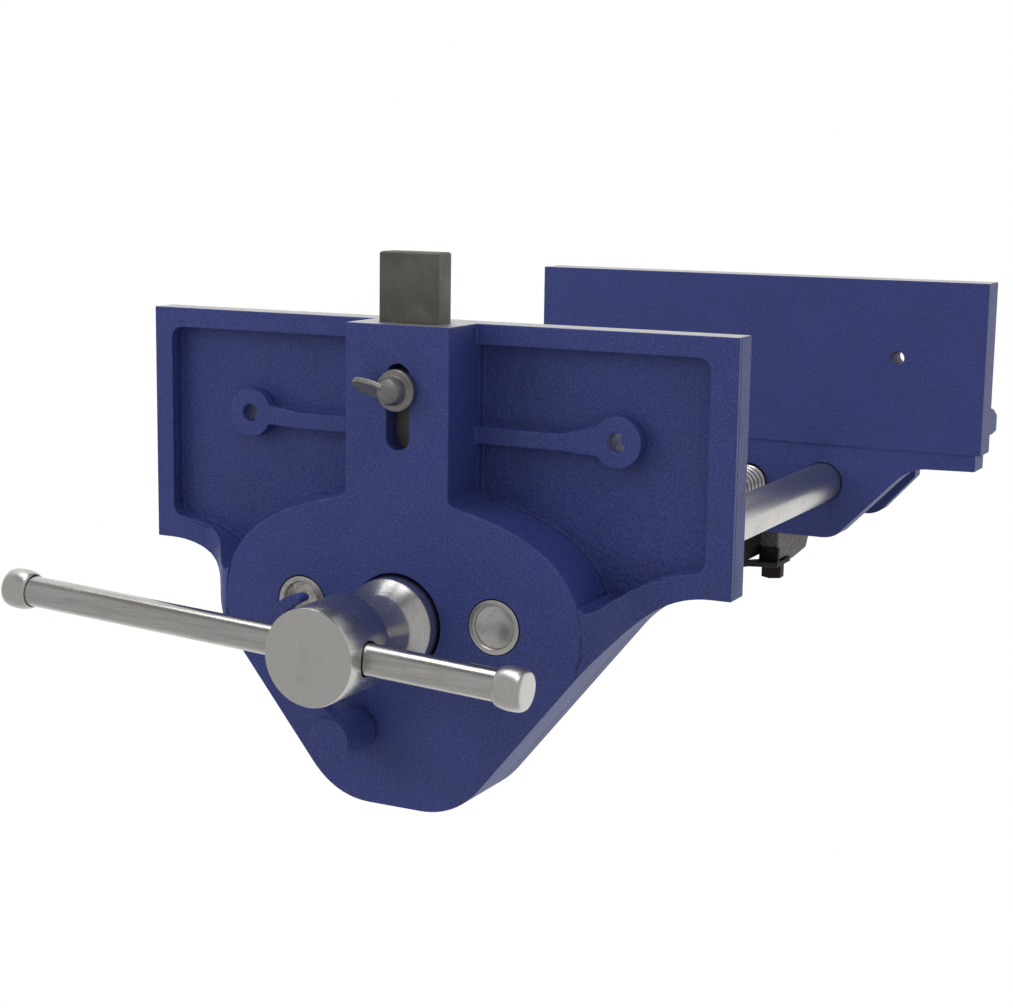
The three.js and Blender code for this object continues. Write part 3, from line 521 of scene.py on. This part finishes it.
# A finer copy of a CAD node, with its sharp corners eased by this much.
def easedCopy(node, name, material, body, slot, ease):
    bm = bmesh.new()
    bm.from_mesh(frame["nodes"][node].data)
    bmesh.ops.remove_doubles(bm, verts=bm.verts, dist=shaping["mergeWithin"])
    flatWithin, sharpFrom = (math.radians(shaping[key]) for key in ("flatWithin", "sharpFrom"))
    bmesh.ops.dissolve_limit(bm, angle_limit=flatWithin, verts=bm.verts, edges=bm.edges)
    sharp = [e for e in bm.edges if e.is_manifold and e.calc_face_angle(0) > sharpFrom]
    bmesh.ops.bevel(bm, geom=sharp, offset=ease, offset_type="OFFSET", segments=shaping["easeSteps"],
                    profile=0.5, affect="EDGES", clamp_overlap=False, material=-1)
    obj = objectFrom(bm, name, material, body)
    obj.modifiers.new("flatFaces", "WEIGHTED_NORMAL").keep_sharp = True
    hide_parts(node)


# A profile of (radius, place along the direction), turned about a line through centre. Side is
# where the turning starts.
def turned(bm, profile, centre, direction, side=None, steps=96):
    if side is None:
        side = direction.orthogonal().normalized()
    verts = [bm.verts.new(Vector(centre) + side * radius + direction * place) for radius, place in profile]
    edges = [bm.edges.new(pair) for pair in zip(verts, verts[1:])]
    bmesh.ops.spin(bm, geom=verts + edges, cent=centre, axis=direction, angle=2 * math.pi, steps=steps,
                   use_merge=True, use_duplicate=False)
    bmesh.ops.remove_doubles(bm, verts=bm.verts, dist=1e-6)
    bmesh.ops.recalc_face_normals(bm, faces=bm.faces)


# A plain round rod between two places along the direction, closed at both ends.
def rodProfile(radius, start, end):
    return [(0, start), (radius, start), (radius, end), (0, end)]


# Takes a rod-shaped hole out of a finished piece.
def bored(obj, radius, centre, direction, length):
    bm = bmesh.new()
    turned(bm, rodProfile(radius, -length / 2, length / 2), centre, direction)
    mesh = bpy.data.meshes.new("borer")
    bm.to_mesh(mesh)
    bm.free()
    borer = bpy.data.objects.new("borer", mesh)
    bpy.context.scene.collection.objects.link(borer)
    hole = obj.modifiers.new("hole", "BOOLEAN")
    hole.object = borer
    hole.solver = "EXACT"
    drilled = bpy.data.meshes.new_from_object(obj.evaluated_get(bpy.context.evaluated_depsgraph_get()))
    obj.modifiers.remove(hole)
    obj.data = drilled
    drilled.set_sharp_from_angle(angle=math.radians(shaping["smoothAngle"]))
    bpy.data.objects.remove(borer)
    bpy.data.meshes.remove(mesh)


# For each CAD node: the name of its piece, the finish, the body, the slot and how far corners are eased.
castings = {
    "front_jaw_casting": ("frontJaw", frontPaint, "front", "painted_casting", 0.0004),
    "rear_jaw_casting": ("rearJaw", rearPaint, "rear", "painted_casting", 0.0004),
    "trigger_lever": ("triggerArm", leverPaint, "trigger", "painted_casting", 0.0003),
    "half_nut": ("threadedNut", nutSkin, "nut", "bare_casting", 0.0008),
}
for nodeName, piece in castings.items():
    easedCopy(nodeName, *piece)
print("stage: castings are in")


# The handle's line crosses the screw's head. Places of the knobs run along the handle from the head.
handleSetup = {
    "ahead": 0.065,         # handle line ahead of the rim plane
    "rodRadius": 0.00535,
    "rodEnds": (-0.1267, 0.0687),
    "holeRadius": 0.0060,
    "boreLength": 0.05,
    "knobRadius": 0.0071,
    "knobLength": 0.010,
    "knobs": {"left": (-0.126, -1), "right": (0.068, 1)},
    # (in from the knob's radius, along from its end), for the end at the head and for the outer end
    "innerCurve": ((0.0013, 0.0), (0.0009, 0.0003), (0.0006, 0.0009), (0.0003, 0.0020), (0.0001, 0.0034)),
    "outerCurve": ((0.0001, 0.0028), (0.0003, 0.0016), (0.0006, 0.0008), (0.0010, 0.0003),
                   (0.0015, 0.0001), (0.0024, 0.0)),
}
slideAxis = Vector(jointNamed("handle_slide")["axis"]).normalized()
handleCentre = Vector((0, rimPlane - handleSetup["ahead"], screwZ))

# Places along the screw are measured from the rim plane, with the user's side negative.
screwSetup = {
    "headFront": -0.077,
    "headBack": -0.052,
    "headRadius": 0.0165,
    "chamfer": 0.0009,
    "neckRadius": 0.0088,
    "neckEnd": -0.0395,
    "cone": ((0.0118, -0.0318), (0.0121, -0.0306), (0.0163, -0.0255), (0.0166, -0.0250)),
    "flangeRadius": 0.0167,
    "flangeRim": (-0.0246, -0.0166),
    "flangeBack": -0.0162,
    "threadFrom": 0.0145,
    "threadInset": (0.0005, 0.0002),   # clear of the step before it and of the screw's end
    "pitch": 0.00508,
    "crest": 0.0086,
    "root": 0.0063,
    "tipRound": 0.0002,
    "stepsPerTurn": 36,
}
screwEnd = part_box("main_screw")[1][1]
screwLine = Vector((0, 1, 0))


def buildShank(setup):
    head, neck, flange, crest, root, chamfer, front, back, flangeBack, start = (setup[key] for key in (
        "headRadius", "neckRadius", "flangeRadius", "crest", "root", "chamfer", "headFront", "headBack",
        "flangeBack", "threadFrom"))
    rimFront, rimBack = setup["flangeRim"]
    profile = [
        (0, front), (0.0040, front), (head - chamfer, front), (head - chamfer * 0.3, front + chamfer * 0.35),
        (head, front + chamfer), (head, back - 0.0007), (head - 0.0002, back - 0.0002), (head - 0.0007, back),
        (neck + 0.0004, back), (neck, back + 0.0004), (neck, setup["neckEnd"]), *setup["cone"],
        (flange, rimFront), (flange, rimBack), (flange - 0.0004, flangeBack), (crest, flangeBack),
        (crest, start), (root, start + 0.001), (root, start + 0.002),
    ]
    bm = bmesh.new()
    turned(bm, profile, (0, rimPlane, screwZ), screwLine, Vector((1, 0, 0)), steps=128)
    shank = objectFrom(bm, "screwHead", turnedFace, "screw")
    bored(shank, handleSetup["holeRadius"], handleCentre, slideAxis, handleSetup["boreLength"])
    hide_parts("main_screw")


# One turn of the thread is wound from its outline, then doubled until it passes the screw's end.
def buildThread(setup):
    bm = bmesh.new()
    pitch, root, crest, tip = (setup[key] for key in ("pitch", "root", "crest", "tipRound"))
    first = rimPlane + setup["threadFrom"]
    threadStart = first - pitch
    outline = [(root, 0.0), (root, 0.18), (crest - tip, 0.40), (crest, 0.44), (crest, 0.74),
               (crest - tip, 0.78), (root, 1.0)]
    verts = [bm.verts.new((radius, threadStart + part * pitch, screwZ)) for radius, part in outline]
    edges = [bm.edges.new(pair) for pair in zip(verts, verts[1:])]
    steps = setup["stepsPerTurn"]
    bmesh.ops.spin(bm, geom=verts + edges, cent=(0, 0, screwZ), axis=screwLine, dvec=(0, pitch / steps, 0),
                   angle=2 * math.pi, steps=steps, use_duplicate=False)
    turns = 1
    while threadStart + turns * pitch < screwEnd:
        copy = bmesh.ops.duplicate(bm, geom=bm.verts[:] + bm.edges[:] + bm.faces[:])["geom"]
        copied = [v for v in copy if isinstance(v, bmesh.types.BMVert)]
        bmesh.ops.translate(bm, vec=(0, turns * pitch, 0), verts=copied)
        turns *= 2
    bmesh.ops.remove_doubles(bm, verts=bm.verts, dist=0.00001)
    frontInset, backInset = setup["threadInset"]
    for cut, keepBelow in ((first + frontInset, False), (screwEnd - backInset, True)):
        result = bmesh.ops.bisect_plane(bm, geom=bm.verts[:] + bm.edges[:] + bm.faces[:],
                                        plane_co=(0, cut, 0), plane_no=screwLine,
                                        clear_outer=keepBelow, clear_inner=not keepBelow)
        rims = [e for e in result["geom_cut"] if isinstance(e, bmesh.types.BMEdge)]
        bmesh.ops.contextual_create(bm, geom=rims)
    bmesh.ops.recalc_face_normals(bm, faces=bm.faces)
    thread = objectFrom(bm, "screwThread", threadFace, "screw", smoothAngle=40)


turnedFace = turnedMetal("screwSteel", (0, 0, screwZ), "Y", rusty=0.1)
threadFace = turnedMetal("threadSteel", (0, 0, screwZ), "Y", rusty=0.2, roughness=0.3)
buildShank(screwSetup)
buildThread(screwSetup)
print("stage: screw is wound")


def buildHandle(setup):
    bm = bmesh.new()
    rodRadius = setup["rodRadius"]
    turned(bm, rodProfile(rodRadius, *setup["rodEnds"]), handleCentre, slideAxis)
    rod = objectFrom(bm, "handleBar", handleSteel, "handle")
    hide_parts("handle_rod")
    half = setup["knobLength"] / 2
    knobRadius = setup["knobRadius"]
    profile = [(rodRadius + 0.0001, -half + 0.0005), (rodRadius + 0.0003, -half + 0.0001)]
    profile += [(knobRadius - drop, -half + along) for drop, along in setup["innerCurve"]]
    profile += [(knobRadius, -0.0003)]
    profile += [(knobRadius - drop, half - along) for drop, along in setup["outerCurve"]]
    profile += [(0, half)]
    for word, (place, outward) in setup["knobs"].items():
        bm = bmesh.new()
        turned(bm, profile, handleCentre + slideAxis * place, slideAxis * outward)
        knob = objectFrom(bm, "knob" + word.title(), knobSteel, "handle", smoothAngle=60)
        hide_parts("handle_knob_" + word)


handleSteel = drawnMetal("handleSteel", (0.04, 1.0, 1.0), roughness=0.17, grime=0.2)
knobSteel = turnedMetal("knobSteel", handleCentre, "X", roughness=0.30)
buildHandle(handleSetup)
print("stage: handle is in")


# Each guide bar has a dished front end and a small centre hole at the back.
barSetup = {
    "offset": 0.038,
    "lift": 0.003,          # above the screw's line
    "radius": 0.0095,
    "dishRim": 0.0076,
    "dishStep": 0.0013,
    "dishDepth": 0.005,
    "holeRadius": 0.0044,
    "holeDepth": 0.01,
    "rust": {"left": 0.85, "right": 0.3},
}


def buildBar(word, side, setup):
    centreX, centreZ = side * setup["offset"], screwZ + setup["lift"]
    steel = turnedMetal("barSteel" + word.title(), (centreX, 0, centreZ), "Y", rusty=setup["rust"][word],
                        roughness=0.28, lengthwise=True)
    low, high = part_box("guide_bar_" + word)
    r, dish, step, depth = (setup[key] for key in ("radius", "dishRim", "dishStep", "dishDepth"))
    hole, holeDepth, length = setup["holeRadius"], setup["holeDepth"], high.y - low.y
    profile = [
        (0, depth), (dish - 0.0004, step), (dish - 0.0001, 0.0004), (dish, 0.0002), (dish + 0.0002, 0.0),
        (r - 0.0004, 0.0), (r - 0.0001, 0.0001), (r, 0.0004), (r, length), (hole, length),
        (hole, length - holeDepth), (0, length - holeDepth - 0.001),
    ]
    bm = bmesh.new()
    turned(bm, profile, (centreX, low.y, (low.z + high.z) / 2), screwLine, Vector((1, 0, 0)))
    bar = objectFrom(bm, "slideBar" + word.title(), steel, "front")
    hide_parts("guide_bar_" + word)


buildBar("left", -1, barSetup)
buildBar("right", 1, barSetup)
print("stage: guide bars are in")


# Small pieces, listed in the same way as the castings.
smallPieces = {
    "nut_follower": ("strap", steels["blackSteel"], "nut", "black_steel", 0.0004),
    "follower_bolt": ("strapBolt", steels["blackSteel"], "nut", "black_steel", 0.0004),
    "tie_plate": ("tiePlate", steels["plateSteel"], "front", "dark_steel", 0.0005),
    "tie_plate_bolt_left": ("tieBoltLeft", steels["lockSteel"], "front", "dark_steel", 0.0003),
    "tie_plate_bolt_right": ("tieBoltRight", steels["lockSteel"], "front", "dark_steel", 0.0003),
    "screw_collar": ("stopCollar", steels["plateSteel"], "screw", "dark_steel", 0.0004),
    "release_bar": ("releaseStrip", steels["blackSteel"], "trigger", "black_steel", 0.0004),
    "dog_bar": ("benchDog", steels["dogSteel"], "dog", "dark_steel", 0.0009),
    "dog_lock_screw": ("dogLock", steels["lockSteel"], "dog_lock", "dark_steel", 0.0003),
    "nut_guide_bolt_left": ("nutBoltLeft", steels["lockSteel"], "rear", "dark_steel", 0.0003),
    "nut_guide_bolt_right": ("nutBoltRight", steels["lockSteel"], "rear", "dark_steel", 0.0003),
}
for nodeName, piece in smallPieces.items():
    easedCopy(nodeName, *piece)

# These stay as they are in the CAD, with a finish of their own.
frame["nodes"]["screw_thrust_washer"].material_slots[0].material = turnedFace
for nodeName in ("screw_collar_pin", "trigger_pin", "release_bar_circlip", "bar_pin_left", "bar_pin_right"):
    frame["nodes"][nodeName].material_slots[0].material = steels["springSteel"]
print("stage: small pieces are in")


springSetup = {
    "wire": 0.00055,
    "sides": 12,
    "stepsPerTurn": 32,
    "nutTurns": 5,
    "triggerTurns": 4,
}


# A round-wire coil that fills its CAD node's box, standing along Z or lying along Y.
def buildSpring(name, node, body, turns, lying=False):
    low, high = (Vector(corner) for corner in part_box(node))
    wire = springSetup["wire"]
    height = high.y - low.y if lying else high.z - low.z
    radius = (high.x - low.x) / 2 - wire
    steps = springSetup["stepsPerTurn"] * turns
    bm = bmesh.new()
    bmesh.ops.create_circle(bm, cap_ends=False, segments=springSetup["sides"], radius=wire)
    bmesh.ops.rotate(bm, cent=(0, 0, 0), matrix=Matrix.Rotation(math.pi / 2, 3, "X"), verts=bm.verts)
    bmesh.ops.translate(bm, vec=(radius, 0, wire - height / 2), verts=bm.verts)
    bmesh.ops.spin(bm, geom=bm.verts[:] + bm.edges[:], cent=(0, 0, 0), axis=(0, 0, 1),
                   angle=2 * math.pi * turns, dvec=(0, 0, (height - 2 * wire) / steps), steps=steps,
                   use_duplicate=False)
    bmesh.ops.holes_fill(bm, edges=[e for e in bm.edges if e.is_boundary], sides=springSetup["sides"])
    bmesh.ops.recalc_face_normals(bm, faces=bm.faces)
    if lying:
        bmesh.ops.rotate(bm, cent=(0, 0, 0), matrix=Matrix.Rotation(-math.pi / 2, 3, "X"), verts=bm.verts)
    bmesh.ops.translate(bm, vec=(low + high) / 2, verts=bm.verts)
    spring = objectFrom(bm, name, steels["springSteel"], body, smoothAngle=50)
    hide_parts(node)
    return spring, low, height


buildSpring("leverSpring", "trigger_spring", "trigger", springSetup["triggerTurns"], lying=True)

# The nut's springs, each with a mesh of its own; the nut's travel is read but doesn't change them.
nutTravel = jointNamed("nut_drop")["range_m"][1]
for word in ("left", "right"):
    spring, foot, length = buildSpring("nutSpring" + word.title(), "nut_spring_" + word, "rear",
                                       springSetup["nutTurns"])
    1 - nutTravel / length
    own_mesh(spring)
print("stage: springs are wound")

bpy.context.view_layer.update()
